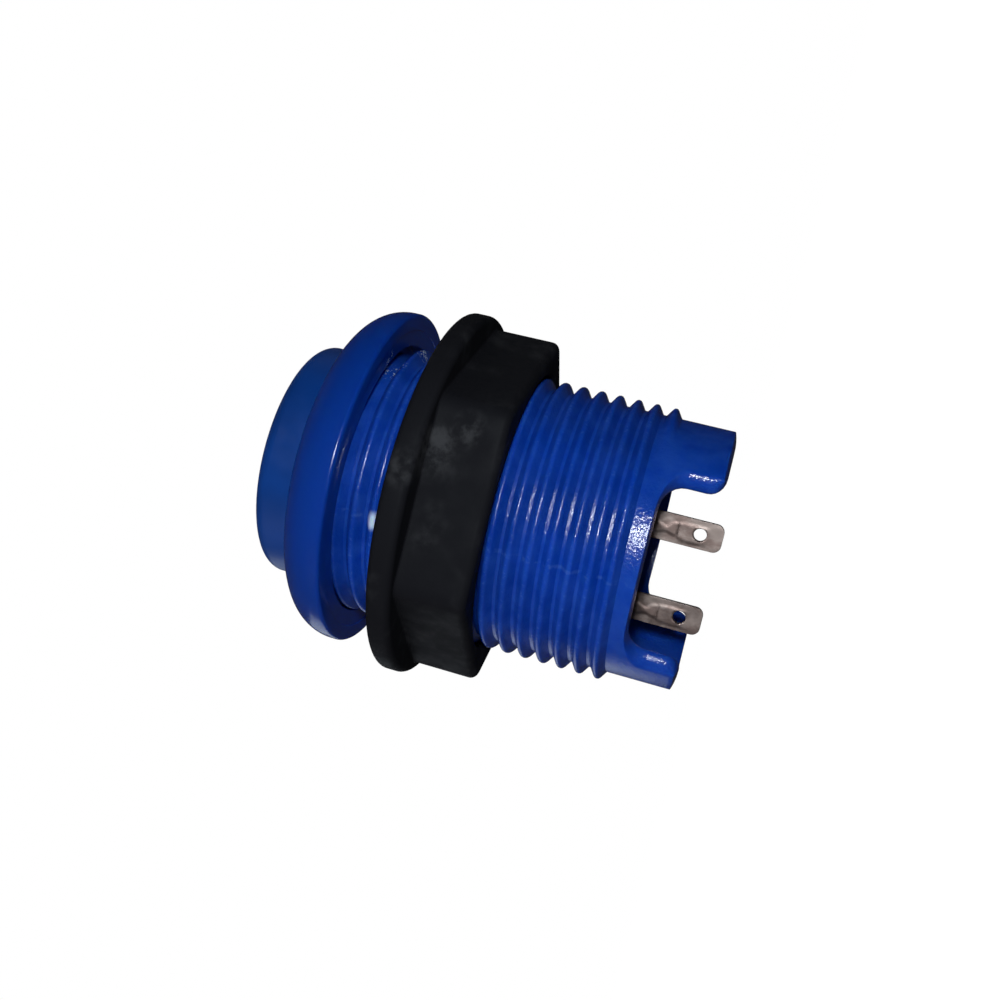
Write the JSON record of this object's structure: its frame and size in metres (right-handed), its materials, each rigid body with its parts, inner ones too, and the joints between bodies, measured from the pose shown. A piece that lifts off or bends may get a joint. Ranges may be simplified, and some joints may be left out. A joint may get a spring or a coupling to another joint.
{
  "type": "panel push button",
  "caption": "Round panel push button with a threaded barrel, lock nut, sprung plunger and a built-in lever switch with flat solder or push-on tabs.",
  "frame": {"origin": "on the button's axis, in the plane of the bezel's underside, where the panel's front face is", "axes": "+Z out of the panel towards the pressed face, -Y towards the middle of one rear notch, X along the line through the two rear legs"},
  "size_m": [0.0372, 0.0372, 0.0439],
  "materials": {
    "housing_plastic": "blue moulded plastic with a soft gloss",
    "plunger_plastic": "blue moulded plastic, a little duller than the housing",
    "nut_plastic": "black moulded plastic, satin",
    "spring_steel": "drawn spring wire",
    "switch_plastic": "black moulded plastic",
    "button_plastic": "red-brown moulded plastic",
    "lever_steel": "pressed steel",
    "blade_brass": "rolled spring brass",
    "contact_silver": "silver alloy",
    "tab_plating": "brass strip with dull nickel plating"
  },
  "bodies": {
    "housing": {"housing": "housing_plastic", "switch_cover": "switch_plastic", "switch_base": "switch_plastic", "lever_pin": "lever_steel", "common_terminal": "tab_plating", "contact_terminal": "tab_plating", "fixed_contact": "contact_silver", "return_spring": "spring_steel", "blade_spring": "spring_steel"},
    "plunger": {"plunger": "plunger_plastic"},
    "switch_lever": {"switch_lever": "lever_steel"},
    "switch_button": {"switch_button": "button_plastic"},
    "contact_blade": {"contact_blade": "blade_brass", "moving_contact": "contact_silver"},
    "lock_nut": {"lock_nut": "nut_plastic"}
  },
  "joints": [
    {"name": "plunger_press", "type": "slide", "parent": "housing", "child": "plunger", "axis": [0, 0, -1], "range_m": [0, 0.003], "stiffness_N_per_m": 150, "springref_m": -0.004, "deforming": ["return_spring"]},
    {"name": "lever_swing", "type": "hinge", "parent": "housing", "child": "switch_lever", "pos_m": [0.00898, 0, -0.0161], "axis": [0, -1, 0], "range_deg": [0, 17.18]},
    {"name": "button_push", "type": "slide", "parent": "housing", "child": "switch_button", "axis": [0, 0, -1], "range_m": [0, 0.00104], "deforming": ["blade_spring"]},
    {"name": "blade_rock", "type": "hinge", "parent": "housing", "child": "contact_blade", "pos_m": [-0.00433, 0, -0.01935], "axis": [0, 1, 0], "range_deg": [0, 6.07]},
    {"name": "nut_travel", "type": "slide", "parent": "housing", "child": "lock_nut", "axis": [0, 0, 1], "range_m": [-0.01305, 0.00455]}
  ],
  "couplings": [
    {"joint": "lever_swing", "follows": "plunger_press", "rad_per_m": 99.671},
    {"joint": "button_push", "follows": "plunger_press", "ratio": 0.3452},
    {"joint": "blade_rock", "follows": "plunger_press", "rad_per_m": 35.215}
  ]
}
